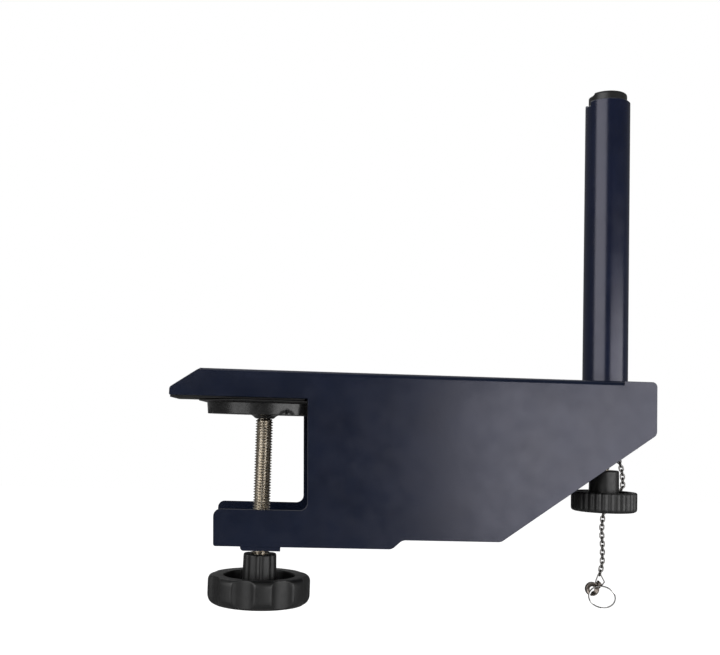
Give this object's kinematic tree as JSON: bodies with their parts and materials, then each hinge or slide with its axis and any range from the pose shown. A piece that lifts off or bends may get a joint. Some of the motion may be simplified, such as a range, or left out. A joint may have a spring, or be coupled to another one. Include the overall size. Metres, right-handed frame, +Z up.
{
  "type": "table tennis net clamp",
  "caption": "Screw clamp of bent sheet steel that grips a table top's edge with a pressure disc and carries an upright net post, with a height screw and a cord chain.",
  "frame": {"origin": "where the table's top surface meets its side edge, on the clamp's mid plane", "axes": "+Z up along the net post, +X from the table outwards to the post, +Y across the bracket away from the plain cheek"},
  "size_m": [0.2203, 0.0608, 0.2489],
  "materials": {
    "navy_paint": "dark navy powder coat, satin",
    "gloss_navy_paint": "dark navy paint, glossy",
    "bright_steel": "bright nickel plated steel",
    "knob_plastic": "black moulded plastic, fine texture",
    "disc_plastic": "black moulded plastic, smooth",
    "cap_plastic": "black plastic",
    "rubber": "black rubber",
    "chain_metal": "bright plated wire",
    "dark_nickel": "dark nickel plate"
  },
  "bodies": {
    "bracket": {"clamp_frame": "navy_paint", "jaw_plate": "navy_paint", "jaw_pad": "rubber", "nut_bridge": "navy_paint", "clamp_nut": "bright_steel", "post_sleeve": "navy_paint", "upper_guide_plate": "navy_paint", "lower_guide_plate": "navy_paint", "screw_plate": "navy_paint", "anchor_ring": "chain_metal", "chain_top": "chain_metal"},
    "disc": {"pressure_disc": "disc_plastic", "disc_lip": "rubber"},
    "screw": {"clamp_screw": "bright_steel", "swivel_clip": "bright_steel", "clamp_knob": "knob_plastic", "knob_plug": "knob_plastic"},
    "post": {"post_tube": "gloss_navy_paint", "post_cap": "cap_plastic", "foot_plug": "bright_steel", "foot_rivets": "bright_steel"},
    "height_adjuster": {"height_screw": "bright_steel", "height_knob": "knob_plastic", "lock_nut": "bright_steel", "screw_clip": "bright_steel"},
    "chain_link": {"chain_pivot_link": "chain_metal"},
    "chain": {"chain_drop": "chain_metal"},
    "clasp": {"clasp_bail": "chain_metal", "clasp_collar": "dark_nickel", "clasp_body": "dark_nickel"},
    "ring": {"split_ring": "chain_metal"}
  },
  "joints": [
    {"name": "clamp_travel", "type": "slide", "parent": "bracket", "child": "disc", "axis": [0, 0, 1], "range_m": [-0.041, 0]},
    {"name": "clamp_turn", "type": "hinge", "parent": "disc", "child": "screw", "pos_m": [-0.0187, 0, -0.04], "axis": [0, 0, 1], "range_deg": [-11808, 0]},
    {"name": "post_lift", "type": "slide", "parent": "bracket", "child": "post", "axis": [0, 0, 1], "range_m": [-0.0024, 0.0048]},
    {"name": "height_turn", "type": "hinge", "parent": "bracket", "child": "height_adjuster", "pos_m": [0.142, 0, -0.03], "axis": [0, 0, 1], "range_deg": [-2160, 1080]},
    {"name": "chain_sway", "type": "hinge", "parent": "bracket", "child": "chain_link", "pos_m": [0.14848, 0.0195, -0.05197], "axis": [0, 1, 0], "range_deg": [-45, 45]},
    {"name": "chain_swing", "type": "hinge", "parent": "chain_link", "child": "chain", "pos_m": [0.14832, 0.0195, -0.05399], "axis": [0.9968, 0, -0.0799], "range_deg": [-45, 45]},
    {"name": "clasp_swing", "type": "hinge", "parent": "chain", "child": "clasp", "pos_m": [0.14712, 0.0195, -0.08015], "axis": [0, 1, 0], "range_deg": [-35, 35]},
    {"name": "ring_swing", "type": "hinge", "parent": "clasp", "child": "ring", "pos_m": [0.1435, 0.0195, -0.08659], "axis": [0, 1, 0], "range_deg": [-20, 20]}
  ],
  "couplings": [
    {"joint": "clamp_turn", "follows": "clamp_travel", "rad_per_m": 5026.5},
    {"joint": "height_turn", "follows": "post_lift", "rad_per_m": -7854}
  ]
}
